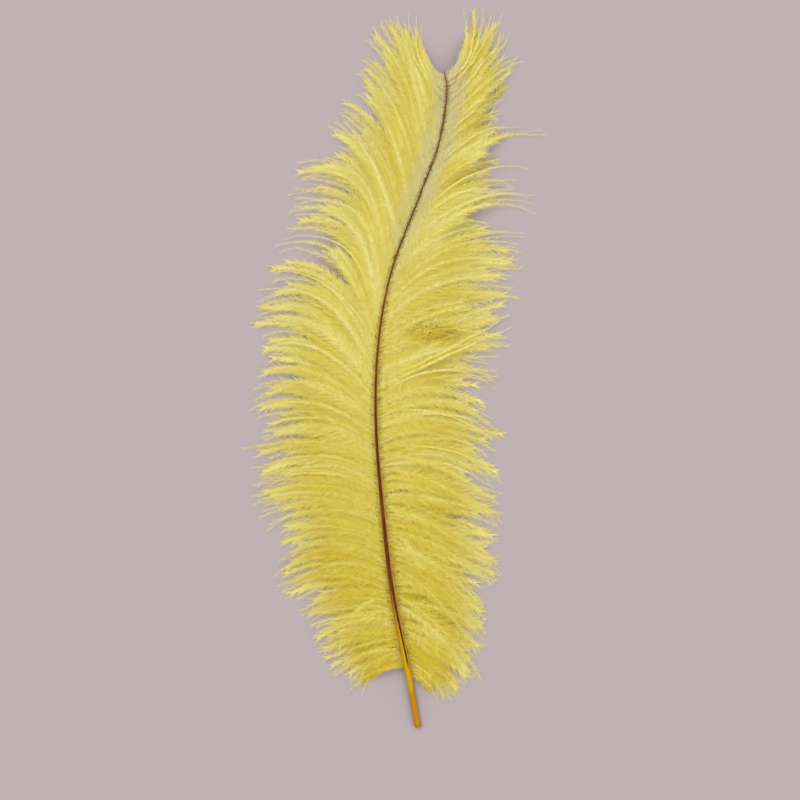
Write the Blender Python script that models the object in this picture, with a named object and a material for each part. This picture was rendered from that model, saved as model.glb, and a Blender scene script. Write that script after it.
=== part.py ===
"""A dyed ostrich feather lying on a surface, in metres, with +Z up.

The shaft runs from the cut end of the quill at -Y to the notch between the two top lobes at +Y.
The vane is made of locks. Each leaves the shaft forwards, arches over and comes down beside it,
and the lowest ones lie flat on the surface at z = 0. Shaft and locks grew as one piece, so they
are fused in one solid. Lengths are in millimetres, measured from the middle of the feather's
outline, with +X to the right of a viewer who looks down on it with the quill nearest.
"""
import math

import bpy
from mathutils import Vector

MM = 0.001

# The shaft's centre line seen from above, from the cut end of the quill to its tip.
SHAFT_PATH = [
    (11.4, -217.8), (5.8, -186.6), (-3.4, -138.6), (-9.1, -92.4), (-13.6, -37.8), (-12.5, 10.2),
    (-4.9, 54.6), (11.8, 99.6), (23.5, 131.4), (28.7, 161.8), (27.3, 175.8),
]
QUILL_WIDTH = 4.0
SHAFT_TIP_WIDTH = 0.6
SHAFT_TAPER = 1.8          # above 1, the shaft loses most of its width in its lower half
SHAFT_SIDES = 8
RINGS_PER_SPAN = 2
SHAFT_TIP_HEIGHT = 6.5
SHAFT_CREST_HEIGHT = 9.5

# One row for each lock: where it leaves the shaft (Y), the point it bends towards (X, Y), its tip
# (X, Y) and its width. The rows go up the shaft.
LEFT_LOCKS = [
    (-182, (-11, -178), (-28, -196), 9),
    (-176, (-15, -171), (-37, -189), 11),
    (-170, (-20, -163), (-46, -176), 12),
    (-164, (-23, -153), (-53, -164), 12),
    (-157, (-28, -143), (-57, -154), 12),
    (-149, (-34, -128), (-67, -148), 12),
    (-141, (-35, -119), (-71, -135), 12),
    (-133, (-37, -110), (-74, -126), 13),
    (-124, (-38, -99), (-72, -112), 14),
    (-114, (-39, -87), (-79, -98), 14),
    (-106, (-40, -79), (-86, -89), 12),
    (-98, (-41, -70), (-86, -80), 12),
    (-90, (-41, -62), (-88, -71), 12),
    (-82, (-41, -52), (-89, -62), 12),
    (-74, (-41, -43), (-89, -54), 12),
    (-67, (-43, -34), (-87, -45), 12),
    (-59, (-47, -23), (-88, -36), 12),
    (-51, (-51, -13), (-89, -26), 12),
    (-43, (-54, -2), (-89, -17), 12),
    (-34, (-53, 10), (-85, -3), 13),
    (-25, (-49, 23), (-86, 11), 13),
    (-17, (-46, 37), (-87, 22), 12),
    (-8, (-46, 50), (-89, 32), 12),
    (-1, (-44, 62), (-83, 43), 12),
    (7, (-40, 74), (-79, 57), 11),
    (15, (-34, 88), (-75, 69), 8),
    (22, (-19, 94), (-64, 82), 10),
    (29, (-11, 109), (-68, 95), 12),
    (37, (-8, 122), (-69, 106), 12),
    (44, (-8, 131), (-65, 116), 12),
    (60, (-11, 122), (-34, 131), 13),
    (71, (-10, 124), (-40, 142), 13),
    (82, (-4, 141), (-37, 156), 12),
    (94, (2, 153), (-24, 172), 14),
    (106, (5, 164), (-23, 183), 14),
    (119, (8, 175), (-17, 199), 14),
    (133, (9, 185), (-3, 210), 13),
    (150, (13, 182), (5, 203), 11),
    (166, (11, 182), (13, 215), 4),
]
RIGHT_LOCKS = [
    (-186, (16, -190), (23, -206), 7),
    (-182, (22, -187), (31, -202), 9),
    (-176, (27, -181), (39, -199), 11),
    (-170, (28, -171), (47, -189), 12),
    (-162, (27, -159), (50, -177), 12),
    (-154, (26, -146), (52, -161), 12),
    (-144, (26, -131), (52, -151), 13),
    (-135, (25, -119), (60, -134), 13),
    (-126, (23, -111), (62, -124), 12),
    (-118, (25, -121), (59, -108), 10),
    (-110, (25, -99), (62, -103), 12),
    (-102, (25, -88), (61, -94), 13),
    (-93, (25, -80), (64, -84), 13),
    (-84, (23, -65), (57, -77), 13),
    (-75, (23, -55), (61, -68), 13),
    (-65, (22, -44), (61, -57), 13),
    (-56, (21, -32), (59, -46), 13),
    (-46, (20, -21), (60, -37), 13),
    (-37, (19, -10), (56, -26), 13),
    (-27, (19, -2), (62, -7), 13),
    (-18, (16, 8), (54, 1), 12),
    (-9, (17, 11), (67, 12), 10),
    (0, (16, 10), (65, 23), 10),
    (9, (17, 22), (70, 32), 11),
    (18, (19, 49), (70, 41), 13),
    (28, (23, 67), (73, 55), 14),
    (38, (29, 81), (76, 66), 13),
    (48, (34, 88), (78, 79), 8),
    (57, (25, 89), (50, 83), 13),
    (65, (51, 111), (88, 91), 5),
    (74, (45, 115), (85, 100), 7),
    (83, (43, 116), (77, 107), 8),
    (93, (37, 122), (53, 118), 13),
    (103, (50, 140), (89, 130), 5),
    (113, (49, 149), (88, 140), 5),
    (124, (46, 148), (56, 143), 13),
    (135, (52, 159), (68, 169), 13),
    (145, (55, 170), (73, 184), 13),
    (155, (54, 179), (67, 201), 13),
    (164, (49, 185), (55, 217), 12),
    (172, (43, 185), (43, 218), 9),
]
LOCK_THICKNESS = 4.2
LOCK_ROOT_DROP = 0.8       # how far below the shaft's centre line a lock begins
LOCK_LIFTS = (2.0, 4.5, 3.0, 5.5, 1.5)    # how far a lock arches up on its way out, in turn
LOCK_TIP_HEIGHTS = (0.9, 2.6, 1.2, 3.6)   # in turn
LOCK_ROLL = math.radians(11)   # tucks one edge of each lock under its neighbour
LOCK_STATIONS = (0.0, 0.2, 0.42, 0.62, 0.8, 0.93)
ROOT_WIDTH_SHARE = 0.65
WIDEST_STATION = 0.6
LEVEL_STATION = 0.82       # from here to its tip a lock keeps one height


def smooth_path(points, steps):
    """Points along a Catmull-Rom curve through the given ones, with steps from each to the next."""
    ends = [2 * points[0] - points[1], *points, 2 * points[-1] - points[-2]]
    path = []
    for before, start, end, after in zip(ends, ends[1:], ends[2:], ends[3:]):
        for step in range(steps):
            t = step / steps
            path.append(0.5 * (2 * start + (end - before) * t
                               + (2 * before - 5 * start + 4 * end - after) * t * t
                               + (3 * start - before - 3 * end + after) * t ** 3))
    return path + [points[-1]]


def shaft_share(y):
    """How far up the feather a Y is: 0 at the quill's cut end, 1 at the shaft's tip."""
    start, end = SHAFT_PATH[0][1], SHAFT_PATH[-1][1]
    return min(max((y - start) / (end - start), 0.0), 1.0)


def shaft_width(y):
    """The shaft is widest at the quill's cut end and thins to a hair at its tip."""
    return SHAFT_TIP_WIDTH + (QUILL_WIDTH - SHAFT_TIP_WIDTH) * (1 - shaft_share(y)) ** SHAFT_TAPER


def shaft_height(y):
    """The centre line's height: the quill's end lies on the surface and the middle arches up."""
    share = shaft_share(y)
    ends = QUILL_WIDTH / 2 + (SHAFT_TIP_HEIGHT - QUILL_WIDTH / 2) * share
    arch = SHAFT_CREST_HEIGHT - (QUILL_WIDTH / 2 + SHAFT_TIP_HEIGHT) / 2
    return ends + arch * math.sin(math.pi * share)


def shaft_line(steps):
    """The shaft's centre line in 3-D."""
    flat = smooth_path([Vector(point) for point in SHAFT_PATH], steps)
    return [Vector((point.x, point.y, shaft_height(point.y))) for point in flat]


def point_on_shaft(line, y):
    """The place on the centre line that is at a Y."""
    for low, high in zip(line, line[1:]):
        if low.y <= y <= high.y:
            return low.lerp(high, (y - low.y) / (high.y - low.y))
    return line[-1]


def side_and_up(tangent):
    """Two directions across a path: one level, and one as near to upright as it gets."""
    side = tangent.cross(Vector((0, 0, 1))).normalized()
    return side, side.cross(tangent).normalized()


def solid_from_rings(name, rings, tip=None):
    """A closed mesh object through rings of points, ending in a flat cap or in one tip point."""
    count = len(rings[0])
    points = [point * MM for ring in rings for point in ring]
    faces = [tuple(reversed(range(count)))]
    for first in range(0, (len(rings) - 1) * count, count):
        for i in range(count):
            j = (i + 1) % count
            faces.append((first + i, first + j, first + count + j, first + count + i))
    last = (len(rings) - 1) * count
    if tip is None:
        faces.append(tuple(range(last, last + count)))
    else:
        points.append(tip * MM)
        faces += [(last + i, last + (i + 1) % count, last + count) for i in range(count)]
    mesh = bpy.data.meshes.new(name)
    mesh.from_pydata(points, [], faces)
    return bpy.data.objects.new(name, mesh)


def make_shaft(line):
    """A round shaft that tapers from the cut quill to a fine tip."""
    rings = []
    for i, centre in enumerate(line):
        tangent = (line[min(i + 1, len(line) - 1)] - line[max(i - 1, 0)]).normalized()
        side, up = side_and_up(tangent)
        radius = shaft_width(centre.y) / 2
        angles = [2 * math.pi * k / SHAFT_SIDES for k in range(SHAFT_SIDES)]
        rings.append([centre + radius * (math.cos(a) * side + math.sin(a) * up) for a in angles])
    shaft = solid_from_rings("feather", rings)
    shaft.data.shade_smooth()
    shaft.data.set_sharp_from_angle(angle=math.radians(50))
    return shaft


def lock_width_share(station):
    """A lock widens from its root to WIDEST_STATION and then narrows to a rounded tip."""
    if station < WIDEST_STATION:
        rise = math.sin(math.pi / 2 * station / WIDEST_STATION)
        return ROOT_WIDTH_SHARE + (1 - ROOT_WIDTH_SHARE) * rise
    return math.sqrt(1 - ((station - WIDEST_STATION) / (1 - WIDEST_STATION)) ** 2)


def lock_height(station, root_height, lift, tip_height):
    """A lock arches up by its lift and has come down to its tip's height by LEVEL_STATION."""
    turn = math.pi / 2 * min(station / LEVEL_STATION, 1.0)
    fall = math.cos(turn) ** 2
    return tip_height + (root_height - tip_height) * fall + lift * math.sin(2 * turn) ** 2


def make_lock(name, root, bend, tip, lift, width, roll):
    """A tapering blade with a low ridge along its top and its underside."""
    stations = [*LOCK_STATIONS, 1.0]
    path = [root.lerp(bend, t).lerp(bend.lerp(tip, t), t) for t in stations]
    for point, station in zip(path, stations):
        point.z = lock_height(station, root.z, lift, tip.z)
    rings = []
    for i, station in enumerate(LOCK_STATIONS):
        centre = path[i]
        tangent = (path[i + 1] - path[max(i - 1, 0)]).normalized()
        side, up = side_and_up(tangent)
        edge = math.cos(roll) * side + math.sin(roll) * up
        ridge = math.cos(roll) * up - math.sin(roll) * side
        share = lock_width_share(station)
        half_width = width / 2 * share
        half_thickness = LOCK_THICKNESS / 2 * share ** 0.5
        rings.append([centre + half_width * edge, centre + half_thickness * ridge,
                      centre - half_width * edge, centre - half_thickness * ridge])
    return solid_from_rings(name, rings, tip)


def make_locks(side, rows, roll, line):
    """The locks of one side of the vane."""
    locks = []
    for i, (root_y, bend, tip, width) in enumerate(rows):
        root = point_on_shaft(line, root_y) - Vector((0, 0, LOCK_ROOT_DROP))
        bend_point = Vector((*bend, 0))
        tip_point = Vector((*tip, LOCK_TIP_HEIGHTS[i % len(LOCK_TIP_HEIGHTS)]))
        lift = LOCK_LIFTS[i % len(LOCK_LIFTS)]
        name = f"{side}_lock_{i + 1}"
        locks.append(make_lock(name, root, bend_point, tip_point, lift, width, roll))
    return locks


def surface_block():
    """What lies below z = 0, where the vane is pressed flat."""
    half, depth = 260 * MM, 20 * MM
    corners = [Vector((x, y, z)) for z in (-depth, 0) for x, y in
               ((-half, -half), (half, -half), (half, half), (-half, half))]
    mesh = bpy.data.meshes.new("surface_block")
    mesh.from_pydata(corners, [], [(3, 2, 1, 0), (4, 5, 6, 7), (0, 1, 5, 4), (1, 2, 6, 5),
                                   (2, 3, 7, 6), (3, 0, 4, 7)])
    return bpy.data.objects.new("surface_block", mesh)


def as_guide(thing):
    """Keep an object only as a Boolean's operand."""
    thing.hide_render = True
    thing.display_type = "WIRE"
    return thing


def material(name, colour, roughness):
    """A plain surface colour."""
    made = bpy.data.materials.new(name)
    made.use_nodes = True
    shader = made.node_tree.nodes["Principled BSDF"]
    shader.inputs["Base Color"].default_value = (*colour, 1.0)
    shader.inputs["Roughness"].default_value = roughness
    shader.inputs["Metallic"].default_value = 0.0
    return made


def main():
    for thing in list(bpy.data.objects):
        bpy.data.objects.remove(thing)
    line = shaft_line(RINGS_PER_SPAN)
    feather = make_shaft(line)
    bpy.context.scene.collection.objects.link(feather)
    feather.data.materials.append(material("dyed_keratin", (0.70, 0.60, 0.09), 0.9))

    lock_collection = bpy.data.collections.new("locks")
    bpy.context.scene.collection.children.link(lock_collection)
    locks = make_locks("left", LEFT_LOCKS, LOCK_ROLL, line)
    locks += make_locks("right", RIGHT_LOCKS, -LOCK_ROLL, line)
    for lock in locks:
        lock_collection.objects.link(as_guide(lock))
    fuse = feather.modifiers.new("fuse_locks", "BOOLEAN")
    fuse.operation = "UNION"
    fuse.operand_type = "COLLECTION"
    fuse.collection = lock_collection

    block = as_guide(surface_block())
    bpy.context.scene.collection.objects.link(block)
    flatten = feather.modifiers.new("flatten_underside", "BOOLEAN")
    flatten.operation = "DIFFERENCE"
    flatten.object = block


main()
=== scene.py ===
"""A yellow ostrich feather lying on a pale surface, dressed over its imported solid. In metres."""
import math

import bpy
import numpy as np
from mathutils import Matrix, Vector


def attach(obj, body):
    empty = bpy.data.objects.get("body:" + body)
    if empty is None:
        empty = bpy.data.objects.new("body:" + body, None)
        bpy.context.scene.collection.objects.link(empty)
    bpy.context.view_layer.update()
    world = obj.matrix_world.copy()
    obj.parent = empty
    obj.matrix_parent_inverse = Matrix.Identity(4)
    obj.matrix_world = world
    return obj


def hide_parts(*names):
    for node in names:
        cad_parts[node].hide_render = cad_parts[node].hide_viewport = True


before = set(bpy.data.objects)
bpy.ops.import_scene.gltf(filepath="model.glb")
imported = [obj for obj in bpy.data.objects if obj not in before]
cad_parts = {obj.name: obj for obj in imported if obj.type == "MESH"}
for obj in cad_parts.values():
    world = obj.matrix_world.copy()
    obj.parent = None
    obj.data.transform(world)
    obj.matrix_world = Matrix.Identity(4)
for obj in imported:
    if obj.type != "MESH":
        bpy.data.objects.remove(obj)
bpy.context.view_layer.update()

# ---- Shaft -------------------------------------------------------------------------------------
# One horn tube that grew with the feather: a bare yellow quill, cut off square, which turns dark
# brown where the vane begins and thins to a hair at the notch between the two top lobes.
MM = 0.001
SHAFT_PATH_MM = [
    (11.4, -217.8), (5.8, -186.6), (-3.4, -138.6), (-9.1, -92.4), (-13.6, -37.8), (-12.5, 10.2),
    (-4.9, 54.6), (11.8, 99.6), (23.5, 131.4), (28.7, 161.8), (27.3, 175.8),
]
QUILL_WIDTH_MM = 4.0
# Rows of (Y, width) in mm: the shaft loses most of its width in the lower half of the vane.
SHAFT_WIDTHS_MM = [(-218, QUILL_WIDTH_MM), (-165, 3.9), (-105, 3.0), (-39, 2.0), (15, 1.35),
                   (80, 0.85), (176, 0.5)]
SHAFT_TIP_HEIGHT_MM = 6.5
SHAFT_CREST_HEIGHT_MM = 9.5
SHAFT_SIDES = 24
TIP_CAP_MM = 0.4              # how far the closed tip stands past the centre line
HOLLOW_DEPTH_MM = 2.5         # of the cut end
HOLLOW_RIM_MM = 1.36          # its radius at the cut
HOLLOW_FLOOR_MM = 1.1         # its radius at the bottom
VANE_START_MM = -185.0        # Y where the lowest barbs leave the shaft
STRIPE_END_MM = -118.0        # Y where the pale stripe up the left of the shaft has closed
STRIPE_MIDDLE = -0.45         # round the tube, where -1 is its left edge and 1 its right one
STRIPE_HALF_WIDTH = 0.65      # on the same scale, where the vane begins
GRAIN_STRETCH = (9, 1, 9)     # the horn's grain runs along the shaft
GRAIN_SCALE = 160.0


def smooth_path(points, steps):
    """Points along a Catmull-Rom curve through the given ones, with steps from each to the next."""
    points = np.array(points, float)
    ends = np.vstack([2 * points[0] - points[1], points, 2 * points[-1] - points[-2]])
    t = (np.arange(steps) / steps)[:, None]
    spans = [0.5 * (2 * b + (c - a) * t + (2 * a - 5 * b + 4 * c - d) * t ** 2
                    + (3 * b - a - 3 * c + d) * t ** 3)
             for a, b, c, d in zip(ends, ends[1:], ends[2:], ends[3:])]
    return np.vstack([*spans, points[-1:]])


def shaft_share(y):
    """How far up the feather a Y in mm is: 0 at the quill's cut end, 1 at the shaft's tip."""
    start, end = SHAFT_PATH_MM[0][1], SHAFT_PATH_MM[-1][1]
    return np.clip((y - start) / (end - start), 0, 1)


def shaft_width(y):
    """The tube's width in mm at a Y."""
    return np.interp(y, *zip(*SHAFT_WIDTHS_MM))


def shaft_height(y):
    """The centre line's height in mm: the quill's end lies down and the middle arches up."""
    share = shaft_share(y)
    ends = QUILL_WIDTH_MM / 2 + (SHAFT_TIP_HEIGHT_MM - QUILL_WIDTH_MM / 2) * share
    arch = SHAFT_CREST_HEIGHT_MM - (QUILL_WIDTH_MM / 2 + SHAFT_TIP_HEIGHT_MM) / 2
    return ends + arch * np.sin(math.pi * share)


shaft_plan = smooth_path(SHAFT_PATH_MM, steps=12)
shaft_line = np.column_stack([shaft_plan, shaft_height(shaft_plan[:, 1])])


class Value:
    """A node's socket. Arithmetic on it adds Math nodes to its tree."""

    def __init__(self, tree, socket):
        self.tree = tree
        self.socket = socket

    def math(self, operation, *others):
        """One Math node, with this value first."""
        inputs = dict(enumerate((self, *others)))
        return self.tree.add("ShaderNodeMath", {"operation": operation}, inputs)["Value"]

    def flipped(self, operation, other):
        """One Math node, with this value second."""
        inputs = {0: other, 1: self}
        return self.tree.add("ShaderNodeMath", {"operation": operation}, inputs)["Value"]

    def __add__(self, other):
        return self.math("ADD", other)

    def __radd__(self, other):
        return self.flipped("ADD", other)

    def __sub__(self, other):
        return self.math("SUBTRACT", other)

    def __rsub__(self, other):
        return self.flipped("SUBTRACT", other)

    def __mul__(self, other):
        return self.math("MULTIPLY", other)

    def __rmul__(self, other):
        return self.flipped("MULTIPLY", other)

    def __truediv__(self, other):
        return self.math("DIVIDE", other)

    def __pow__(self, other):
        return self.math("POWER", other)

    def ramp(self, low, high):
        """0 below low, 1 above high, and smooth between them."""
        inputs = {"Value": self, "From Min": low, "From Max": high, "To Min": 0.0, "To Max": 1.0}
        settings = {"interpolation_type": "SMOOTHSTEP"}
        return self.tree.add("ShaderNodeMapRange", settings, inputs)["Result"]


class Tree:
    """A node tree, material or geometry, that nodes are added to one call at a time."""

    def __init__(self, nodes):
        self.nodes = nodes

    def put(self, socket, value):
        """Links an output or a list of them to a socket, or sets the socket's own value."""
        if isinstance(value, list):
            for part in value:
                self.put(socket, part)
        elif isinstance(value, Value):
            self.nodes.links.new(value.socket, socket)
        else:
            socket.default_value = value

    def add(self, kind, settings=None, inputs=None):
        """Adds a node: its settings first, then its sockets. Gives its outputs by name."""
        node = self.nodes.nodes.new(kind)
        for name, setting in (settings or {}).items():
            setattr(node, name, setting)
        for key, value in (inputs or {}).items():
            self.put(node.inputs[key], value)
        return {output.name: Value(self, output) for output in node.outputs if output.enabled}

    def mix_colour(self, factor, first, second):
        """The first colour where factor is 0 and the second where it is 1."""
        colours = {"A_Color": first, "B_Color": second}
        node = self.nodes.nodes.new("ShaderNodeMix")
        node.data_type = "RGBA"
        self.put(node.inputs["Factor"], factor)
        for socket in node.inputs:
            if socket.identifier in colours:
                self.put(socket, colours[socket.identifier])
        return next(Value(self, s) for s in node.outputs if s.identifier == "Result_Color")


def new_material(name):
    """An empty material with its output node, and the tree to fill."""
    made = bpy.data.materials.new(name)
    made.use_nodes = True
    made.node_tree.nodes.clear()
    return made, Tree(made.node_tree)


def finish_material(tree, shader):
    """Puts a shader on the material's surface."""
    tree.add("ShaderNodeOutputMaterial", None, {"Surface": shader})


HORN_BROWN = (0.055, 0.012, 0.001, 1)
HORN_RED_BROWN = (0.14, 0.038, 0.003, 1)
HORN_TIP = (0.12, 0.042, 0.005, 1)
# Painted glow: the orange of the tube's flanks, where light shines through the thin horn.
HORN_PAINTED_EDGE_GLOW = (0.62, 0.34, 0.055, 1)
HORN_ORANGE = (0.24, 0.085, 0.005, 1)
QUILL_YELLOW = (0.45, 0.262, 0.002, 1)
QUILL_OCHRE = (0.38, 0.17, 0.005, 1)


def horn_material():
    """Dyed horn: its UV map runs round the tube in U and from the quill to the tip in V."""
    made, tree = new_material("dyed_horn")
    uv = tree.add("ShaderNodeUVMap", {"uv_map": "around"})["UV"]
    parts = tree.add("ShaderNodeSeparateXYZ", None, {0: uv})
    across = (parts["X"] * (2 * math.pi)).math("COSINE")
    along = parts["Y"]
    place = tree.add("ShaderNodeTexCoord")["Object"]
    grain_place = tree.add("ShaderNodeMapping", None, {"Vector": place, "Scale": GRAIN_STRETCH})
    grain = tree.add("ShaderNodeTexNoise", None,
                     {"Vector": grain_place["Vector"], "Scale": GRAIN_SCALE, "Detail": 3.0})["Fac"]
    vane_start = float(shaft_share(VANE_START_MM))
    stripe_end = float(shaft_share(STRIPE_END_MM))
    tip = along.ramp(0.45, 0.75)
    stripe_width = STRIPE_HALF_WIDTH - STRIPE_HALF_WIDTH * along.ramp(vane_start, stripe_end)
    off_stripe = (across - STRIPE_MIDDLE).math("ABSOLUTE")
    brown = (off_stripe - stripe_width + 0.3 * (grain - 0.5)).ramp(-0.12, 0.12)
    brown = brown * along.ramp(vane_start + 0.002, vane_start + 0.02)
    quill = tree.mix_colour(along.ramp(vane_start - 0.035, vane_start - 0.02),
                            QUILL_OCHRE, QUILL_YELLOW)
    pale = tree.mix_colour(along.ramp(vane_start + 0.02, stripe_end), quill, HORN_ORANGE)
    dark = tree.mix_colour(grain.ramp(0.35, 0.75), HORN_BROWN, HORN_RED_BROWN)
    dark = tree.mix_colour(tip, dark, HORN_TIP)
    # Painted glow along both flanks, wider and stronger on the right one, fading towards the tip.
    edge = across.ramp(0.58, 0.78) + 0.7 * (-1.0 * across).ramp(0.78, 0.92)
    dark = tree.mix_colour(edge * (1 - 0.9 * tip), dark, HORN_PAINTED_EDGE_GLOW)
    colour = tree.mix_colour(brown, pale, dark)
    bump = tree.add("ShaderNodeBump", None,
                    {"Height": grain, "Strength": 0.25, "Distance": 0.0002})["Normal"]
    shader = tree.add("ShaderNodeBsdfPrincipled", None,
                      {"Base Color": colour, "Roughness": 0.55, "Specular IOR Level": 0.06,
                       "Normal": bump})["BSDF"]
    finish_material(tree, shader)
    return made


def shaft_mesh():
    """A tube round the centre line, closed at its tip and cut square with a small hollow."""
    line = shaft_line
    share = shaft_share(line[:, 1])
    width = shaft_width(line[:, 1])
    tangent = np.gradient(line, axis=0)
    tangent /= np.linalg.norm(tangent, axis=1)[:, None]
    side = np.cross(tangent, (0, 0, 1))
    side /= np.linalg.norm(side, axis=1)[:, None]
    up = np.cross(side, tangent)
    angle = 2 * np.pi * np.arange(SHAFT_SIDES) / SHAFT_SIDES
    ring = np.cos(angle)[:, None] * side[:, None] + np.sin(angle)[:, None] * up[:, None]
    rings = line[:, None] + ring * width[:, None, None] / 2
    floor_middle = line[0] + tangent[0] * HOLLOW_DEPTH_MM
    hollow = [floor_middle + ring[0] * HOLLOW_FLOOR_MM, line[0] + ring[0] * HOLLOW_RIM_MM]
    stack = [*hollow, *rings]
    along = [float(share[0])] * 2 + list(share)
    tip = line[-1] + tangent[-1] * TIP_CAP_MM
    points = np.vstack([*stack, floor_middle[None], tip[None]]) * MM
    faces = []
    uvs = []
    for row in range(len(stack) - 1):
        for i in range(SHAFT_SIDES):
            j = (i + 1) % SHAFT_SIDES
            a, b = row * SHAFT_SIDES, (row + 1) * SHAFT_SIDES
            faces.append((a + i, a + j, b + j, b + i))
            u, v = i / SHAFT_SIDES, (i + 1) / SHAFT_SIDES
            uvs += [(u, along[row]), (v, along[row]), (v, along[row + 1]), (u, along[row + 1])]
    last = (len(stack) - 1) * SHAFT_SIDES
    bottom, top = len(points) - 2, len(points) - 1
    for i in range(SHAFT_SIDES):
        j = (i + 1) % SHAFT_SIDES
        u, v = i / SHAFT_SIDES, (i + 1) / SHAFT_SIDES
        faces.append((last + i, last + j, top))
        uvs += [(u, 0.995), (v, 0.995), (u, 1.0)]
        faces.append((j, i, bottom))
        uvs += [(v, 0.004), (u, 0.004), (u, 0.0)]
    mesh = bpy.data.meshes.new("shaft")
    mesh.from_pydata(points.tolist(), [], faces)
    layer = mesh.uv_layers.new(name="around")
    layer.data.foreach_set("uv", np.array(uvs, float).ravel())
    mesh.shade_smooth()
    return mesh


shaft = bpy.data.objects.new("shaft_horn", shaft_mesh())
bpy.context.scene.collection.objects.link(shaft)
shaft.data.materials.append(horn_material())
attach(shaft, "root")
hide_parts("feather")

# ---- Barbs -------------------------------------------------------------------------------------
# The vane is hundreds of soft dyed barbs that grew out of both sides of the shaft. They cling in
# locks, arch over and lie down, so each barb follows its lock and strays from it a little.
# One row for each lock: where it leaves the shaft (Y), the point it bends towards (X, Y), its tip
# (X, Y) and its width, in mm. The rows go up the shaft.
LEFT_LOCKS_MM = [
    (-182, (-11, -178), (-28, -196), 9),
    (-176, (-15, -171), (-37, -189), 11),
    (-170, (-20, -163), (-46, -176), 12),
    (-164, (-23, -153), (-53, -164), 12),
    (-157, (-28, -143), (-57, -154), 12),
    (-149, (-34, -128), (-67, -148), 12),
    (-141, (-35, -119), (-71, -135), 12),
    (-133, (-37, -110), (-74, -126), 13),
    (-124, (-38, -99), (-72, -112), 14),
    (-114, (-39, -87), (-79, -98), 14),
    (-106, (-40, -79), (-86, -89), 12),
    (-98, (-41, -70), (-86, -80), 12),
    (-90, (-41, -62), (-88, -71), 12),
    (-82, (-41, -52), (-89, -62), 12),
    (-74, (-41, -43), (-89, -54), 12),
    (-67, (-43, -34), (-87, -45), 12),
    (-59, (-47, -23), (-88, -36), 12),
    (-51, (-51, -13), (-89, -26), 12),
    (-43, (-54, -2), (-89, -17), 12),
    (-34, (-53, 10), (-85, -3), 13),
    (-25, (-49, 23), (-86, 11), 13),
    (-17, (-46, 37), (-87, 22), 12),
    (-8, (-46, 50), (-89, 32), 12),
    (-1, (-44, 62), (-83, 43), 12),
    (7, (-40, 74), (-79, 57), 11),
    (15, (-34, 88), (-75, 69), 8),
    (22, (-19, 94), (-64, 82), 10),
    (29, (-11, 109), (-68, 95), 12),
    (37, (-8, 122), (-69, 106), 12),
    (44, (-8, 131), (-65, 116), 12),
    (60, (-11, 122), (-34, 131), 13),
    (71, (-10, 124), (-40, 142), 13),
    (82, (-4, 141), (-37, 156), 12),
    (94, (2, 153), (-24, 172), 14),
    (106, (5, 164), (-23, 183), 14),
    (119, (8, 175), (-17, 199), 14),
    (133, (9, 185), (-3, 210), 13),
    (150, (13, 182), (5, 203), 11),
    (166, (11, 182), (13, 215), 4),
]
RIGHT_LOCKS_MM = [
    (-186, (16, -190), (23, -206), 7),
    (-182, (22, -187), (31, -202), 9),
    (-176, (27, -181), (39, -199), 11),
    (-170, (28, -171), (47, -189), 12),
    (-162, (27, -159), (50, -177), 12),
    (-154, (26, -146), (52, -161), 12),
    (-144, (26, -131), (52, -151), 13),
    (-135, (25, -119), (60, -134), 13),
    (-126, (23, -111), (62, -124), 12),
    (-118, (25, -121), (59, -108), 10),
    (-110, (25, -99), (62, -103), 12),
    (-102, (25, -88), (61, -94), 13),
    (-93, (25, -80), (64, -84), 13),
    (-84, (23, -65), (57, -77), 13),
    (-75, (23, -55), (61, -68), 13),
    (-65, (22, -44), (61, -57), 13),
    (-56, (21, -32), (59, -46), 13),
    (-46, (20, -21), (60, -37), 13),
    (-37, (19, -10), (56, -26), 13),
    (-27, (19, -2), (62, -7), 13),
    (-18, (16, 8), (54, 1), 12),
    (-9, (17, 11), (67, 12), 10),
    (0, (16, 10), (65, 23), 10),
    (9, (17, 22), (70, 32), 11),
    (18, (19, 49), (70, 41), 13),
    (28, (23, 67), (73, 55), 14),
    (38, (29, 81), (76, 66), 13),
    (48, (34, 88), (78, 79), 8),
    (57, (25, 89), (50, 83), 13),
    (65, (51, 111), (88, 91), 5),
    (74, (45, 115), (85, 100), 7),
    (83, (43, 116), (77, 107), 8),
    (93, (37, 122), (53, 118), 13),
    (103, (50, 140), (89, 130), 5),
    (113, (49, 149), (88, 140), 5),
    (124, (46, 148), (56, 143), 13),
    (135, (52, 159), (68, 169), 13),
    (145, (55, 170), (73, 184), 13),
    (155, (54, 179), (67, 201), 13),
    (164, (49, 185), (55, 217), 12),
    (172, (43, 185), (43, 218), 9),
]
# How far the locks arch up and how high their tips lie, over and over up the shaft, so that
# neighbours differ, and the share of its length at which a lock has come down.
LOCK_LIFTS_MM = (2.6, 3.8, 3.1, 4.4, 2.2)
LOCK_TIP_HEIGHTS_MM = (0.9, 2.2, 1.2, 2.8)
LEVEL_STATION = 0.82
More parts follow.
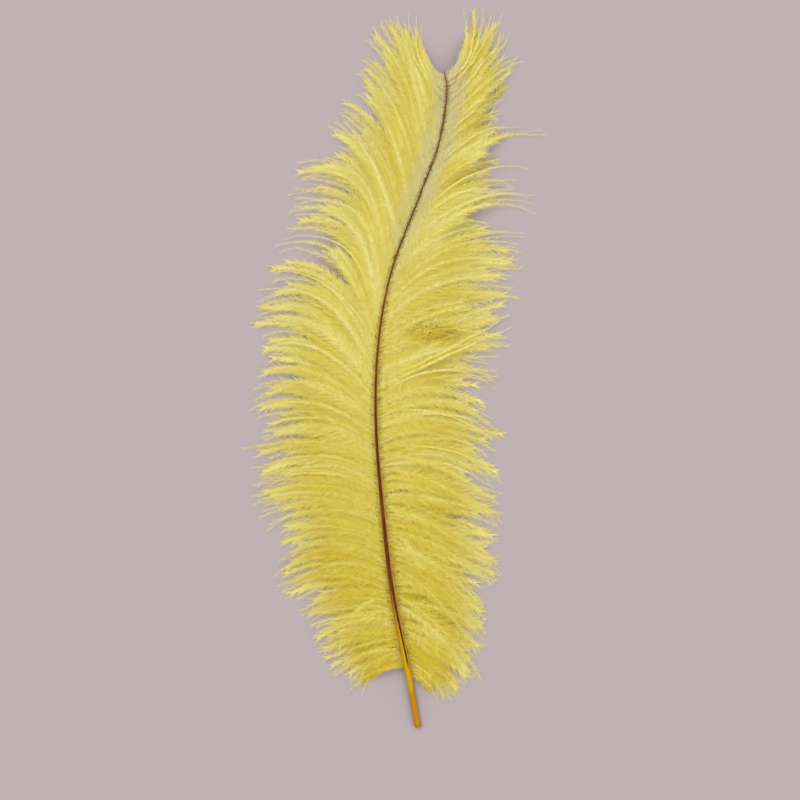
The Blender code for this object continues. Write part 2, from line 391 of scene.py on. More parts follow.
# Barbs that lie over the locks and cross them, as rows of (Y, bend, tip) in mm and their fluff.
LOOSE_BARBS_MM = [
    (-30, (28, -20), (61, -45), 0.16), (-34, (30, -24), (60, -40), 0.16),
    (-52, (36, -44), (60, -66), 0.16), (-20, (28, 10), (60, -14), 0.16),
    (6, (34, 34), (68, 12), 0.16), (-78, (-48, -52), (-84, -78), 0.16),
    (-36, (-46, 4), (-84, -20), 0.16), (12, (-40, 62), (-82, 56), 0.16),
    (24, (-26, 96), (-76, 74), 0.16), (84, (44, 128), (78, 118), 0.16),
    (166, (3, 168), (6, 214), 0.16), (168, (4, 171), (13, 218), 0.16),
    (171, (47, 178), (47, 219), 0.16), (168, (48, 178), (55, 214), 0.16),
    (-14, (28, 0), (68, 29), 0.3), (-10, (24, 0), (66, 33), 0.4), (-6, (18, 8), (64, 34), 0.5),
    (-105, (24, -115), (52, -151), 0.5), (-96, (21, -112), (22, -190), 0.6),
    (-150, (-26, -147), (-55, -160), 0.8), (-153, (-24, -150), (-51, -160), 0.8),
    (-142, (-34, -138), (-34, -178), 0.4), (-148, (-26, -143), (-25, -180), 0.4),
]
# Where locks of the left side part and leave an opening, as rows of (Y, half its width) in mm.
LEFT_PARTINGS_MM = [(11, 1.2), (40, 1.2)]
# The locks that leave the shaft between these Ys end in a few thin strands.
LEFT_STRANDS_MM = (2, 16)
RIGHT_STRANDS_MM = (132, 158)
# Low on the feather many barbs droop to the tip of a lower lock: how much lower that lock leaves
# the shaft, at five Ys in mm.
SWEEP_AT_MM = (-186, -160, -115, -60, 0)
LEFT_SWEEPS_MM = (0, 12, 26, 18, 0)
RIGHT_SWEEPS_MM = (0, 20, 48, 38, 0)
BARB_SPACING_MM = 0.85       # between the feet of neighbouring barbs, along the shaft
VANE_END_MM = 174.5          # Y where the highest barbs leave the shaft
GOLDEN_STEP = 0.618034       # steps of the golden section spread the kinds evenly up the shaft
DOWN_SHARE = 0.18            # this share of the barbs is short down, close to the shaft
DOWN_REACH = (0.14, 0.30)    # how far along their lock such barbs reach
# Painted shade: the down is deep in tone, for the shade beneath the other barbs.
DOWN_SHADED_TONE = (0.05, 0.30)
DOWN_END_MM = 45.0           # above this Y there is no down
UNDER_SHARE = 0.36           # this share lies beneath the others, ends sooner and is fluffier
UNDER_REACH = (0.72, 1.0)
HIDDEN_STEM = 0.6            # the width of the stems of both, as a share of the others'
# Painted highlight: the share below lies on top and is painted paler, for the light its stems
# catch.
RIDGE_SHARE = 0.1            # this share lies on top and shows its pale stem
STRAND_WIDTH_MM = 8          # a lock no wider than this thins out to a few long barbs
SHORTENED = (0.55, 0.7)      # the share that ends early in a thinned lock and in a strand
SHORT_REACH = (0.4, 0.65)    # how far such barbs reach
PARTED = (0.9, 0.5)          # the share that ends early at a parting, on top and beneath
PARTED_REACH = (0.3, 0.5)    # how far those reach at most
TUFT_SPACING_MM = 4.0        # a lock's barbs end in tufts this far apart
CLING_START = 0.35           # how far along a barb it begins to cling to its tuft
CLING = (0.1, 0.75)          # and how close it comes to it, from 0 to 1
WAVE_TURNS = (0.5, 1.6)      # a barb's slow waves from root to tip, and how far they swing
WAVE_MM = (0.2, 1.4)
RIPPLE_TURNS = (2.5, 5.0)    # its quick ones
RIPPLE_MM = (0.1, 0.5)
LEAN_MM = 2.4                # how far its tip strays to one side
FOOT_BOW_MM = (2.2, 11.0)    # how far a barb keeps its foot's way, at the vane's foot and top
FOOT_FADE_MM = 32.0          # and how soon it is back in its lock
SHEER_SPAN_MM = (30, 110)    # over these Ys the vane beside the shaft becomes see-through
NOTCH_SPAN_MM = (135, 165)   # over these Ys the barbs lose their fluff towards the notch
FOOT_ANGLES = (0.85, 1.25)   # between shaft and feet, in radians, below and above that span
FOOT_ANGLE_SPREAD = 0.12
BARB_POINTS = 32
FOOT_CROWDING = 1.45         # above 1, a barb's points stand closer near its foot
LEAST_HEIGHT_MM = 0.5        # of a barb above the surface
BARB_LAYER_MM = 1.2          # how far barbs of one lock lie above or below each other
SEED = 11

random = np.random.default_rng(SEED)


def shaft_point(y):
    """The point of the shaft's centre line at a Y."""
    return np.array([np.interp(y, shaft_line[:, 1], shaft_line[:, k]) for k in range(3)])


def foot_bow(plan, root_y):
    """How far each point of a barb moves, so that its foot points forwards and then arches over."""
    shaft_way = (shaft_point(root_y + 2) - shaft_point(root_y - 2))[:2]
    shaft_way /= np.linalg.norm(shaft_way)
    steps = np.diff(plan, axis=0)
    lengths = np.linalg.norm(steps, axis=1)
    barb_way = steps[0] / lengths[0]
    sine = shaft_way[0] * barb_way[1] - shaft_way[1] * barb_way[0]
    outwards = np.array([-shaft_way[1], shaft_way[0]]) * np.sign(sine)
    usual_angle = np.interp(root_y, NOTCH_SPAN_MM, FOOT_ANGLES)
    angle = random.normal(usual_angle, FOOT_ANGLE_SPREAD)
    foot_way = math.cos(angle) * shaft_way + math.sin(angle) * outwards
    reach = np.concatenate([[0], np.cumsum(lengths)])
    bow = np.interp(shaft_share(root_y) ** 2, (0, 1), FOOT_BOW_MM)
    shift = bow * (1 - np.exp(-reach / bow)) * np.exp(-reach / FOOT_FADE_MM)
    return (foot_way - barb_way) * shift[:, None]


def lock_height(station, root_height, lift, tip_height):
    """A lock arches up by its lift and has come down to its tip's height by LEVEL_STATION."""
    turn = math.pi / 2 * np.minimum(station / LEVEL_STATION, 1)
    fall = np.cos(turn) ** 2
    return tip_height + (root_height - tip_height) * fall + lift * np.sin(2 * turn) ** 2


def lock_guide(row, root, t, sweep):
    """A lock's curve from a root point, from above. A sweep takes its bend up with the root."""
    _, bend, tip, _ = row
    bend = np.array(bend) + (0, 0.6 * sweep)
    return (1 - t) ** 2 * root[:2] + 2 * t * (1 - t) * bend + t ** 2 * np.array(tip)


def barb_path(row, neighbour, share, root, sweep, tuft_place, reach, lift, tip_height, layer):
    """A barb that flows between its lock and the next one, and clings to a tuft of its own lock."""
    station = np.linspace(0, 1, BARB_POINTS) ** FOOT_CROWDING * reach
    t = station[:, None]
    own = lock_guide(row, root, t, sweep)
    flow = own + share * (lock_guide(neighbour, root, t, sweep) - own)
    tangent = np.gradient(own, axis=0)
    tangent /= np.linalg.norm(tangent, axis=1)[:, None]
    normal = np.column_stack([-tangent[:, 1], tangent[:, 0]])
    cling = np.clip((t - CLING_START) / (1 - CLING_START), 0, 1) ** 1.5 * random.uniform(*CLING)
    plan = flow + cling * (own + normal * tuft_place - flow)
    wave = np.sin(2 * np.pi * (station * random.uniform(*WAVE_TURNS) + random.uniform(0, 1)))
    ripple = np.sin(2 * np.pi * (station * random.uniform(*RIPPLE_TURNS) + random.uniform(0, 1)))
    lean = random.normal(0, LEAN_MM) * station ** 2
    bend = wave * random.uniform(*WAVE_MM) + ripple * random.uniform(*RIPPLE_MM) + lean
    plan += normal * (bend * station)[:, None]
    plan += foot_bow(plan, root[1])
    height = lock_height(station, root[2], lift, tip_height)
    height += layer * np.sin(np.pi * np.minimum(station, 1))
    return np.column_stack([plan, np.maximum(height, LEAST_HEIGHT_MM)])


def shaft_inside(y):
    """A point just below the shaft's centre line at a Y, where a hidden barb starts."""
    return shaft_point(y) - (0, 0, 0.3)


def shaft_flank(y, tip):
    """A point just inside the shaft's upper half at a Y, on the side of a tip."""
    centre = shaft_point(y)
    side = np.sign(tip[0] - centre[0])
    return centre + np.array([side * 0.4, 0, 0.25]) * shaft_width(y)


def lock_tufts(row):
    """The tufts that a lock's barbs cling to: each one's place across the lock, and its reach."""
    count = max(1, round(row[3] / TUFT_SPACING_MM))
    places = np.arange(count) - (count - 1) / 2 + random.uniform(-0.3, 0.3, count)
    return list(zip(places * TUFT_SPACING_MM, random.uniform(0.97, 1.07, count)))


def lock_tone(row):
    """A lock's colour is deepest low on the feather and a little deeper again at the top."""
    up = shaft_share(row[0])
    return random.uniform(0.48, 0.64) - 0.5 * (1 - up) ** 3 - 0.12 * up ** 3


def barbs_of(rows, partings, sweeps, strands):
    """Every barb of one side, with its path in mm and what tells it from the others.

    Its tone goes from 0, deep yellow, to 1, pale. Its fluff scales its barbules' length and its
    slim, about 1, says how much they thin out towards the tip. Its stem scales the stem's width,
    and its sheer, from 0 to 1, makes the vane beside the shaft thin and dull. Its top is 1 where
    its brown foot shows and 0 where it lies beneath others.
    """
    lock_ys = [row[0] for row in rows]
    order = np.arange(len(rows))
    lifts = np.resize(LOCK_LIFTS_MM, len(rows))
    tip_heights = np.resize(LOCK_TIP_HEIGHTS_MM, len(rows))
    tufts = []
    lock_tones = []
    for row in rows:
        tufts.append(lock_tufts(row))
        lock_tones.append(lock_tone(row))
    barbs = []
    kind = random.random()
    for foot_y in np.arange(lock_ys[0] - 1, VANE_END_MM, BARB_SPACING_MM):
        kind = (kind + GOLDEN_STEP) % 1
        is_down = kind < DOWN_SHARE
        is_under = DOWN_SHARE <= kind < DOWN_SHARE + UNDER_SHARE
        is_top = not is_down and not is_under
        if is_down and foot_y > DOWN_END_MM:
            continue
        root_y = foot_y + random.uniform(-0.25, 0.25) * BARB_SPACING_MM
        sweep = np.interp(root_y, SWEEP_AT_MM, sweeps) * random.uniform(0.2, 1.0)
        sweep *= 1.0 if is_top else 0.5 * is_under
        lock_y = root_y - sweep
        index = np.interp(lock_y, lock_ys, order)
        number = round(index)
        place = index - number
        row = rows[number]
        neighbour = rows[int(np.clip(number + np.sign(place), 0, len(rows) - 1))]
        is_strand = row[3] <= STRAND_WIDTH_MM
        tuft_place, tuft_reach = tufts[number][random.integers(len(tufts[number]))]
        reach = tuft_reach * random.uniform(0.88, 0.98)
        layer = random.uniform(0, 1) * BARB_LAYER_MM + 0.05 * sweep
        tone = lock_tones[number] + random.normal(0, 0.12)
        fluff = random.uniform(0.75, 1.1) * np.interp(root_y, NOTCH_SPAN_MM, (1.0, 0.7))
        slim = np.interp(root_y, NOTCH_SPAN_MM, (1.0, 1.15))
        stem = 1.0
        if is_down:
            reach = random.uniform(*DOWN_REACH)
            layer = -1.3 * BARB_LAYER_MM
            tone = random.uniform(*DOWN_SHADED_TONE)
            stem = HIDDEN_STEM
        elif is_under:
            reach *= random.uniform(*UNDER_REACH)
            layer = -layer
            # Painted shade: a barb beneath the others is a little deeper in tone.
            tone -= 0.1
            slim = 0.5
            stem = HIDDEN_STEM
        elif kind > 1 - RIDGE_SHARE:
            layer = 1.6 * BARB_LAYER_MM
            # Painted highlight: a barb on top is paler in tone, for the light it catches.
            tone += 0.12
            fluff *= 0.5
            stem = 1.25
        if is_strand or strands[0] < row[0] < strands[1]:
            if random.random() < SHORTENED[is_strand]:
                reach *= random.uniform(*SHORT_REACH)
                slim = 0.5
            elif is_strand:
                fluff *= 0.75
                slim = 1.15
                stem = 0.8
        in_parting = any(abs(lock_y - y) < half for y, half in partings)
        if in_parting and random.random() < PARTED[is_under]:
            reach = min(reach, random.uniform(*PARTED_REACH))
        root = shaft_flank(root_y, row[2]) if is_top else shaft_inside(root_y)
        lift = np.interp(index, order, lifts)
        tip_height = np.interp(index, order, tip_heights)
        path = barb_path(row, neighbour, abs(place), root, sweep, tuft_place, reach,
                         lift, tip_height, layer)
        barbs.append({"path": path, "tone": min(max(tone, 0), 1), "fluff": fluff, "slim": slim,
                      "stem": stem, "sheer": np.interp(root_y, SHEER_SPAN_MM, (0, 1)),
                      "top": float(is_top)})
    return barbs


def loose_barb(root_y, bend, tip, fluff):
    """A pale barb that starts beneath the locks and soon lies on top of them."""
    row = (root_y, np.array(bend) + random.normal(0, 1, 2), tip, 0)
    tuft_place = random.uniform(-1, 1)
    reach = random.uniform(0.9, 1.0)
    path = barb_path(row, row, 0, shaft_inside(root_y), 0.0, tuft_place, reach,
                     max(LOCK_LIFTS_MM) + 0.8, max(LOCK_TIP_HEIGHTS_MM), 0.0)
    return {"path": path, "tone": random.uniform(0.55, 0.8) - 0.4 * fluff, "fluff": fluff,
            "slim": 1.0, "stem": 1.0, "sheer": 0.0, "top": 0.0}


def barb_lines(name, barbs):
    """A mesh of edges, one chain for each barb, with what the barbules need to know per point."""
    points = np.vstack([barb["path"] for barb in barbs])
    count = len(barbs)
    index = np.arange(count * BARB_POINTS).reshape(count, BARB_POINTS)
    edges = np.stack([index[:, :-1].ravel(), index[:, 1:].ravel()], axis=1)
    mesh = bpy.data.meshes.new(name)
    mesh.from_pydata((points * MM).tolist(), edges.tolist(), [])
    near = np.interp(points[:, 1], shaft_line[:, 1], shaft_line[:, 0])
    room = np.abs(points[:, 0] - near)
    steps = [np.linalg.norm(np.diff(barb["path"], axis=0), axis=1) for barb in barbs]
    from_root = np.concatenate([[0, *np.cumsum(step)] for step in steps])
    length = np.repeat([step.sum() for step in steps], BARB_POINTS)
    labels = {"room": room * MM, "from_root": from_root * MM, "length": length * MM}
    for label in ("tone", "fluff", "slim", "stem", "sheer", "top"):
        labels[label] = np.repeat([barb[label] for barb in barbs], BARB_POINTS)
    for label, values in labels.items():
        mesh.attributes.new(label, "FLOAT", "POINT").data.foreach_set("value", values)
    made = bpy.data.objects.new(name, mesh)
    bpy.context.scene.collection.objects.link(made)
    return made


# ---- Barbules ----------------------------------------------------------------------------------
# Each barb carries two rows of fine loose barbules that never hook together, which is what makes
# the vane soft. They leave the barb forwards, cling in clumps and shrink towards the barb's tip.
BARBULE_LENGTH = 8.0 * MM
BARBULE_WIDTH = 0.17 * MM
BARBULE_SPACING = 0.21 * MM
BARBULE_ANGLE = 0.75
CLUMP_SIZE = 2.0 * MM
BARB_WIDTH = 0.40 * MM        # at its foot, beyond the wider base
FOOT_LENGTH = 4.5 * MM        # the brown foot of a barb, where it is thickest
BARE_ROOT = 0.4 * MM          # hidden in the shaft
# Openings where most barbules are missing: X, Y, half a length along X and half a width, in mm.
# The barbules left in them are painted deeper in tone, as shade.
OPEN_SHADED_PATCHES_MM = [(20, 19, 19, 6.5), (46, 37, 9, 4)]
PATCH_LOSS = 0.75             # the share of barbules that is missing in them
TIP_LOSS = 0.36               # at a barb's tip
SHEER_LOSS = 0.25             # and in the see-through vane beside the shaft
DULL_SHARE = 0.8              # the share of barbules that is dull there
SWELL_LENGTH = 14 * MM        # from its root on, a barb's barbules grow to their full length
SHEER_REACH = (8 * MM, 22 * MM)   # from the root, where the see-through part of a barb ends
FLOOR_CLEARANCE = 0.15 * MM
# A barbule is no longer than ROOM_SHARE of its distance from the shaft and ROOM_SPARE together.
ROOM_SHARE = 1.3
ROOM_SPARE = 2.0 * MM
PALEST_TONE = 0.85            # barbules of tone 1 are the dull ones of the see-through vane
STEM_BAND = 0.45              # stems use U below this and barbules U above it
BAND_MARGIN = 0.03            # at each end of both
FOOT_BAND = 0.2               # V below this is the foot, in true length, and the rest is above it
REACH_BAND = 0.04             # and over this much V a barbule runs on from its barb
UV_NAME = "OFBake"


def barbule_object():
    """A flat sliver along +X, one long and one unit wide, in two triangles."""
    points = [(0, -0.5, 0), (0, 0.5, 0), (0.6, -0.5, 0), (1.0, 0.0, 0)]
    mesh = bpy.data.meshes.new("barbule")
    mesh.from_pydata(points, [], [(0, 2, 1), (2, 3, 1)])
    labels = {"reach": (0.0, 0.0, 0.6, 1.0), "edge": (-1.0, 1.0, -1.0, 0.0)}
    for label, values in labels.items():
        mesh.attributes.new(label, "FLOAT", "POINT").data.foreach_set("value", values)
    return bpy.data.objects.new("barbule", mesh)


def vane_tree():
    """Geometry Nodes that turn chains of edges into barbs with barbules on both sides."""
    group = bpy.data.node_groups.new("vane", "GeometryNodeTree")
    names = [("Geometry", "NodeSocketGeometry"), ("Barbule", "NodeSocketObject"),
             ("Material", "NodeSocketMaterial"), ("Barb Width", "NodeSocketFloat"),
             ("Foot Length", "NodeSocketFloat"), ("Barbule Length", "NodeSocketFloat"),
             ("Barbule Width", "NodeSocketFloat"), ("Barbule Spacing", "NodeSocketFloat"),
             ("Barbule Angle", "NodeSocketFloat"), ("Clump Size", "NodeSocketFloat"),
             ("Bare Root", "NodeSocketFloat"), ("Seed", "NodeSocketInt")]
    for name, kind in names:
        group.interface.new_socket(name, in_out="INPUT", socket_type=kind)
    group.interface.new_socket("Geometry", in_out="OUTPUT", socket_type="NodeSocketGeometry")
    tree = Tree(group)
    given = tree.add("NodeGroupInput")

    def attribute(name):
        return tree.add("GeometryNodeInputNamedAttribute", {"data_type": "FLOAT"},
                        {"Name": name})["Attribute"]

    def vector(operation, *values, scale=None):
        inputs = dict(enumerate(values))
        if scale is not None:
            inputs["Scale"] = scale
        return tree.add("ShaderNodeVectorMath", {"operation": operation}, inputs)["Vector"]

    def chance(low, high, seed):
        return tree.add("FunctionNodeRandomValue", {"data_type": "FLOAT"},
                        {"Min": low, "Max": high, "Seed": given["Seed"] + seed})["Value"]

    def clump(size, seed):
        """About -0.5 to 0.5, alike for barbules in the same patch of a size."""
        noise = tree.add("ShaderNodeTexNoise", {"noise_dimensions": "4D"},
                         {"Vector": position, "W": given["Seed"] + seed,
                          "Scale": (given["Clump Size"] * size) ** -1.0, "Detail": 1.0})["Fac"]
        return 2.2 * (noise - 0.5)

    def store(geometry, name, value):
        return tree.add("GeometryNodeStoreNamedAttribute",
                        {"data_type": "FLOAT", "domain": "POINT"},
                        {"Geometry": geometry, "Name": name, "Value": value})["Geometry"]

    def place_uv(geometry, across, along):
        """Stores the UV map, whose U also changes a little across each stem and barbule."""
        pair = tree.add("ShaderNodeCombineXYZ", None, {"X": across, "Y": along})["Vector"]
        return tree.add("GeometryNodeStoreNamedAttribute",
                        {"data_type": "FLOAT2", "domain": "CORNER"},
                        {"Geometry": geometry, "Name": UV_NAME, "Value": pair})["Geometry"]

    curves = tree.add("GeometryNodeMeshToCurve", None, {"Mesh": given["Geometry"]})["Curve"]
    position = tree.add("GeometryNodeInputPosition")["Position"]
    growth = attribute("from_root")
    along = growth / attribute("length")
    top = attribute("top")
    foot_length = given["Foot Length"] * (1 - 0.5 * attribute("sheer"))
    foot = (growth / foot_length).math("MINIMUM", 1.0)
    beyond = (growth - foot_length) / (attribute("length") - foot_length)
    length_uv = FOOT_BAND * foot.math("MAXIMUM", 1 - top)
    length_uv = length_uv + (1 - FOOT_BAND) * beyond.math("MAXIMUM", 0.0)

    taper = given["Barb Width"] * 0.5 * (1 - 0.5 * foot) * (1 - 0.7 * along)
    taper = taper * (1 + (1 - foot) ** 4.0) * attribute("stem")
    taper = taper * (1 - 0.4 * attribute("sheer") * (1 - foot))
    profile = tree.add("GeometryNodeCurvePrimitiveCircle", None,
                       {"Resolution": 3, "Radius": 1.0})["Curve"]
    rim = tree.add("GeometryNodeSplineParameter")["Factor"]
    profile = store(profile, "rim", rim)
    stem_inputs = {"Curve": store(curves, "length_uv", length_uv), "Profile Curve": profile,
                   "Scale": taper, "Fill Caps": True}
    stems = tree.add("GeometryNodeCurveToMesh", None, stem_inputs)["Mesh"]
    tone = attribute("tone") * (STEM_BAND - 2 * BAND_MARGIN) + 0.02
    stems = place_uv(stems, tone + 0.03 * attribute("rim"), attribute("length_uv"))

    rows = tree.add("GeometryNodeResampleCurve", {"mode": "LENGTH"},
                    {"Curve": curves, "Length": given["Barbule Spacing"]})["Curve"]
    rows = store(rows, "length_uv", length_uv)
    thin = attribute("sheer") * (1 - growth.ramp(*SHEER_REACH))
    tone = attribute("tone") + chance(-0.16, 0.16, 7) + 0.5 * clump(0.6, 3)
    place = tree.add("ShaderNodeSeparateXYZ", None, {0: position})
    patches = []
    for x, y, half_length, half_width in OPEN_SHADED_PATCHES_MM:
        off_x = (place["X"] - x * MM) / (half_length * MM)
        off_y = (place["Y"] - y * MM) / (half_width * MM)
        patches.append(1 - (off_x * off_x + off_y * off_y).ramp(0.3, 1.3))
        # Painted shade: the barbules left in an opening are deeper in tone.
        tone = tone - 0.35 * patches[-1]
    tone = tone.math("MAXIMUM", 0.0).math("MINIMUM", PALEST_TONE)
    is_dull = chance(0.0, 1.0, 8).math("LESS_THAN", DULL_SHARE * thin)
    rows = store(rows, "tone", tone.math("MAXIMUM", is_dull))
    tangent = tree.add("GeometryNodeInputTangent")["Tangent"]
    side = vector("NORMALIZE", vector("CROSS_PRODUCT", tangent, (0, 0, 1)))
    up = vector("CROSS_PRODUCT", side, tangent)
    # At its root a barb's barbules have the least share of their length, and then they swell.
    swell = (growth / SWELL_LENGTH).math("MINIMUM", 1.0)
    least = 0.42 + 0.13 * attribute("sheer") - 0.27 * top * (1 - attribute("sheer"))
    outer = along.ramp(0.4, 1.0) * attribute("slim")
    halves = []
    for sign in (1, -1):
        seed = 10 * (sign + 2)
        loss = (TIP_LOSS * outer).math("MAXIMUM", SHEER_LOSS * thin)
        for patch in patches:
            loss = loss.math("MAXIMUM", PATCH_LOSS * patch)
        keep = growth.math("GREATER_THAN", given["Bare Root"] * (1 + top))
        keep = keep * chance(0.0, 1.0, seed + 4).math("GREATER_THAN", loss)
        angle = given["Barbule Angle"] + chance(-0.3, 0.3, seed) + 0.9 * clump(1.0, seed)
        angle = angle * (1 - 0.45 * along) + 0.6 * (1 - foot) * (1 - top)
        roll = chance(-0.40, 0.20, seed + 1) + 0.6 * clump(1.0, seed + 5) - 0.3 * (1 - foot)
        outwards = vector("ADD", vector("SCALE", side, scale=roll.math("COSINE") * sign),
                          vector("SCALE", up, scale=roll.math("SINE")))
        heading = vector("ADD", vector("SCALE", tangent, scale=angle.math("COSINE")),
                         vector("SCALE", outwards, scale=angle.math("SINE")))
        upright = vector("CROSS_PRODUCT", outwards, tangent)
        turn = tree.add("FunctionNodeAlignRotationToVector", {"axis": "X"},
                        {"Vector": heading})["Rotation"]
        turn = tree.add("FunctionNodeAlignRotationToVector", {"axis": "Z", "pivot_axis": "X"},
                        {"Rotation": turn, "Vector": upright})["Rotation"]
        length = given["Barbule Length"] * attribute("fluff") * (least + (1 - least) * swell)
        length = length * (1 - 0.5 * outer) * (1 - 0.3 * thin) * chance(0.5, 1.2, seed + 2)
        length = length.math("MINIMUM", attribute("room") * ROOM_SHARE + ROOM_SPARE)
        width = given["Barbule Width"] * (1 - 0.7 * outer)
        width = width * (1 + 0.7 * (1 - top) * (1 - attribute("sheer")))
        sides = {"X": length, "Y": width, "Z": 1.0}
        scale = tree.add("ShaderNodeCombineXYZ", None, sides)["Vector"]
        piece = tree.add("GeometryNodeObjectInfo", {"transform_space": "ORIGINAL"},
                         {"Object": given["Barbule"]})["Geometry"]
        placed = tree.add("GeometryNodeInstanceOnPoints", None,
                          {"Points": rows, "Selection": keep, "Instance": piece,
                           "Rotation": turn, "Scale": scale})["Instances"]
        halves.append(placed)
    joined = tree.add("GeometryNodeJoinGeometry", None, {"Geometry": halves})["Geometry"]
    slivers = tree.add("GeometryNodeRealizeInstances", None, {"Geometry": joined})["Geometry"]
    tone = attribute("tone") * (1 - STEM_BAND - 2 * BAND_MARGIN) + (STEM_BAND + BAND_MARGIN)
    length_uv = attribute("length_uv") * (1 - REACH_BAND) + REACH_BAND * attribute("reach")
    slivers = place_uv(slivers, tone + 0.012 * attribute("edge"), length_uv)

    whole = tree.add("GeometryNodeJoinGeometry", None, {"Geometry": [slivers, stems]})["Geometry"]
    height = tree.add("ShaderNodeSeparateXYZ", None, {0: position})["Z"]
    lift = (FLOOR_CLEARANCE - height).math("MAXIMUM", 0.0)
    shift = tree.add("ShaderNodeCombineXYZ", None, {"Z": lift})["Vector"]
    raised = tree.add("GeometryNodeSetPosition", None,
                      {"Geometry": whole, "Offset": shift})["Geometry"]
    dressed = tree.add("GeometryNodeSetMaterial", None,
                       {"Geometry": raised, "Material": given["Material"]})["Geometry"]
    tree.add("NodeGroupOutput", None, {"Geometry": dressed})
    return group


STEM_TIP = (0.88, 0.80, 0.32, 1)
STEM_MIDDLE = (0.82, 0.71, 0.17, 1)
FOOT_BROWN = (0.20, 0.080, 0.012, 1)
FOOT_ORANGE = (0.64, 0.36, 0.060, 1)
YELLOW_DEEP = (0.76, 0.61, 0.038, 1)
YELLOW_MIDDLE = (0.84, 0.75, 0.18, 1)
YELLOW_PALE = (0.92, 0.88, 0.44, 1)
YELLOW_DULL = (0.79, 0.725, 0.42, 1)
GLOW_SHARE = 0.43             # of the light that the barbs let through and spread


def barb_material():
    """Dyed barbs: V runs from root to tip, and U tells stems from barbules and gives the tone."""
    made, tree = new_material("dyed_barbs")
    uv = tree.add("ShaderNodeUVMap", {"uv_map": UV_NAME})["UV"]
    parts = tree.add("ShaderNodeSeparateXYZ", None, {0: uv})
    across, along = parts["X"], parts["Y"]
    is_barbule = across.math("GREATER_THAN", STEM_BAND)
    stem_tone = across / STEM_BAND
    barbule_tone = (across - STEM_BAND) / (1 - STEM_BAND)
    foot_end = along + 0.25 * FOOT_BAND * (stem_tone - 0.5)
    foot = tree.mix_colour(along.ramp(0.25 * FOOT_BAND, 0.4 * FOOT_BAND), FOOT_ORANGE, FOOT_BROWN)
    stem = tree.mix_colour(foot_end.ramp(0.6 * FOOT_BAND, 0.95 * FOOT_BAND), foot, STEM_MIDDLE)
    stem = tree.mix_colour(along.ramp(0.4, 1.0), stem, STEM_TIP)
    # Painted highlight: beyond the foot the stems of pale barbs turn pale yellow, for the light
    # they catch.
    pale = 0.6 * stem_tone.ramp(0.55, 1.0) * along.ramp(0.25, 0.4)
    stem = tree.mix_colour(pale, stem, YELLOW_PALE)
    low = tree.mix_colour(barbule_tone.ramp(0.0, 0.55), YELLOW_DEEP, YELLOW_MIDDLE)
    yellow = tree.mix_colour(barbule_tone.ramp(0.5, 0.92), low, YELLOW_PALE)
    yellow = tree.mix_colour(0.6 * along.ramp(0.55, 1.0), yellow, YELLOW_PALE)
    yellow = tree.mix_colour(barbule_tone.ramp(0.88, 0.92), yellow, YELLOW_DULL)
    colour = tree.mix_colour(is_barbule, stem, yellow)
    body = tree.add("ShaderNodeBsdfPrincipled", None,
                    {"Base Color": colour, "Roughness": 0.65, "Specular IOR Level": 0.2})["BSDF"]
    glow = tree.add("ShaderNodeBsdfTranslucent", None, {"Color": colour})["BSDF"]
    mixed = tree.add("ShaderNodeMixShader", None, {0: GLOW_SHARE, 1: body, 2: glow})["Shader"]
    finish_material(tree, mixed)
    return made


def grow(name, lines, tree, sliver, material, seed):
    """Runs the tree on some barbs and gives the result as a plain mesh object."""
    modifier = lines.modifiers.new("vane", "NODES")
    modifier.node_group = tree
    values = {"Barbule": sliver, "Material": material, "Barb Width": BARB_WIDTH,
              "Foot Length": FOOT_LENGTH, "Barbule Length": BARBULE_LENGTH,
              "Barbule Width": BARBULE_WIDTH, "Barbule Spacing": BARBULE_SPACING,
              "Barbule Angle": BARBULE_ANGLE, "Clump Size": CLUMP_SIZE, "Bare Root": BARE_ROOT,
              "Seed": seed}
    for item in tree.interface.items_tree:
        if item.in_out == "INPUT" and item.name in values:
            modifier[item.identifier] = values[item.name]
    graph = bpy.context.evaluated_depsgraph_get()
    mesh = bpy.data.meshes.new_from_object(lines.evaluated_get(graph))
    bpy.data.objects.remove(lines)
    mesh.materials.pop(index=0)  # the tree leaves an empty slot before the barbs' own
    mesh.name = name
    made = bpy.data.objects.new(name, mesh)
    bpy.context.scene.collection.objects.link(made)
    return made


tree = vane_tree()
sliver = barbule_object()
barb_finish = barb_material()
left_barbs = barbs_of(LEFT_LOCKS_MM, LEFT_PARTINGS_MM, LEFT_SWEEPS_MM, LEFT_STRANDS_MM)
right_barbs = barbs_of(RIGHT_LOCKS_MM, (), RIGHT_SWEEPS_MM, RIGHT_STRANDS_MM)
for root_y, bend, tip, fluff in LOOSE_BARBS_MM:
    is_left = tip[0] < shaft_point(root_y)[0]
    (left_barbs if is_left else right_barbs).append(loose_barb(root_y, bend, tip, fluff))
# Each side's barbs make three pieces of about the same length of barb.
PARTS = ("low", "middle", "high")
SEED_STEP = 100
seed = SEED
for side_name, barbs in (("left", left_barbs), ("right", right_barbs)):
    barbs.sort(key=lambda barb: barb["path"][0, 1])
    lengths = np.array([np.linalg.norm(np.diff(barb["path"], axis=0), axis=1).sum()
                        for barb in barbs])
    share = np.cumsum(lengths) / lengths.sum()
    part_of = np.minimum(share * len(PARTS), len(PARTS) - 1).astype(int)
    for number, part_name in enumerate(PARTS):
        chosen = [barb for barb, part in zip(barbs, part_of) if part == number]
        seed += SEED_STEP
        lines = barb_lines(f"{side_name}_{part_name}_lines", chosen)
        piece = grow(f"barbs_{side_name}_{part_name}", lines, tree, sliver, barb_finish, seed)
        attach(piece, "root")
        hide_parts("feather")
bpy.data.objects.remove(sliver)

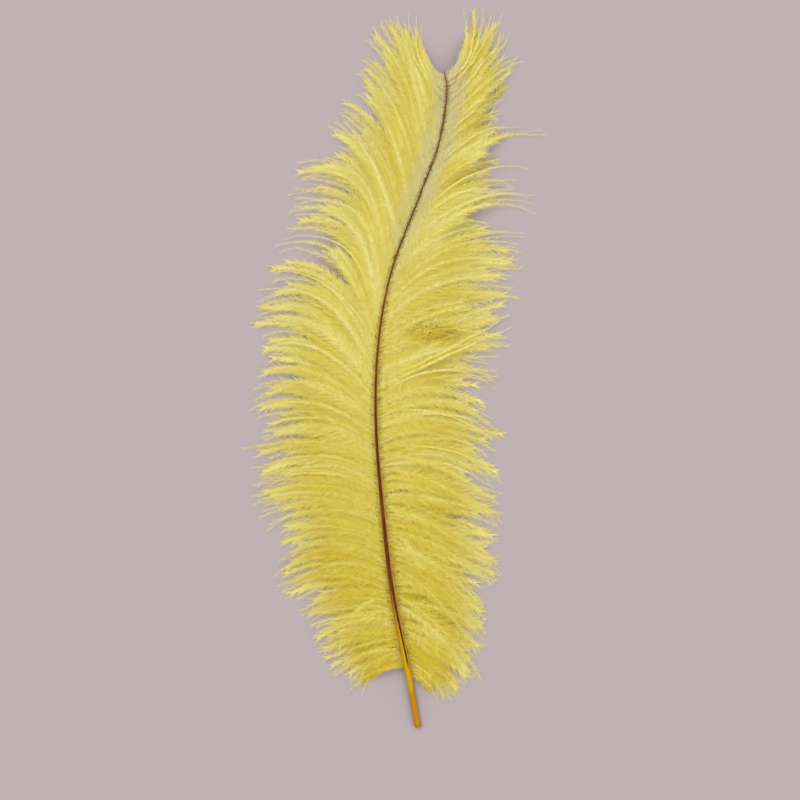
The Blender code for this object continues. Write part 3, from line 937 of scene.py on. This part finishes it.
# ---- Surface, light and camera -----------------------------------------------------------------
# The feather lies on a plain, pale, matt surface. Two large soft lamps light it, the stronger one
# from the upper left, in a bright room, and the camera looks straight down.
FLOOR_COLOUR = (0.35, 0.285, 0.293, 1)
ROOM_COLOUR = (0.95, 0.97, 1.0, 1)
ROOM_STRENGTH = 0.89
MM_PER_PIXEL = 0.6            # in the picture, at the feather's middle height
MIDDLE_HEIGHT_MM = 6
PICTURE_SIDE_PX = 800
FEATHER_CENTRE_PX = (399, 365)
LENS_MM = 70.0
SENSOR_MM = 36.0

floor_mesh = bpy.data.meshes.new("floor")
floor_mesh.from_pydata([(-2, -2, 0), (2, -2, 0), (2, 2, 0), (-2, 2, 0)], [], [(0, 1, 2, 3)])
floor = bpy.data.objects.new("floor", floor_mesh)
bpy.context.scene.collection.objects.link(floor)
floor_material, floor_tree = new_material("pale_surface")
floor_shader = floor_tree.add("ShaderNodeBsdfPrincipled", None,
                              {"Base Color": FLOOR_COLOUR, "Roughness": 0.9})["BSDF"]
finish_material(floor_tree, floor_shader)
floor.data.materials.append(floor_material)


def soft_light(name, place, target, side, power):
    """A square lamp that faces its target."""
    lamp = bpy.data.lights.new(name, "AREA")
    lamp.size = side
    lamp.energy = power
    made = bpy.data.objects.new(name, lamp)
    made.location = place
    made.rotation_euler = (Vector(target) - Vector(place)).to_track_quat("-Z", "Y").to_euler()
    bpy.context.scene.collection.objects.link(made)


soft_light("key", (-1.3, 1.8, 3.9), (0, 0, 0), side=3.0, power=110.0)
soft_light("fill", (1.8, -1.2, 2.6), (0, 0, 0), side=2.4, power=36.0)
world = bpy.data.worlds.new("studio")
world.use_nodes = True
background = world.node_tree.nodes["Background"]
background.inputs["Color"].default_value = ROOM_COLOUR
background.inputs["Strength"].default_value = ROOM_STRENGTH
bpy.context.scene.world = world
bpy.context.scene.view_settings.view_transform = "Standard"

camera = bpy.data.cameras.new("camera")
camera.lens = LENS_MM
camera.sensor_width = SENSOR_MM
camera_object = bpy.data.objects.new("camera", camera)
view_width = PICTURE_SIDE_PX * MM_PER_PIXEL * MM
centre_px = PICTURE_SIDE_PX / 2
camera_object.location = ((centre_px - FEATHER_CENTRE_PX[0]) * MM_PER_PIXEL * MM,
                          (FEATHER_CENTRE_PX[1] - centre_px) * MM_PER_PIXEL * MM,
                          view_width * LENS_MM / SENSOR_MM + MIDDLE_HEIGHT_MM * MM)
bpy.context.scene.collection.objects.link(camera_object)
bpy.context.scene.camera = camera_object
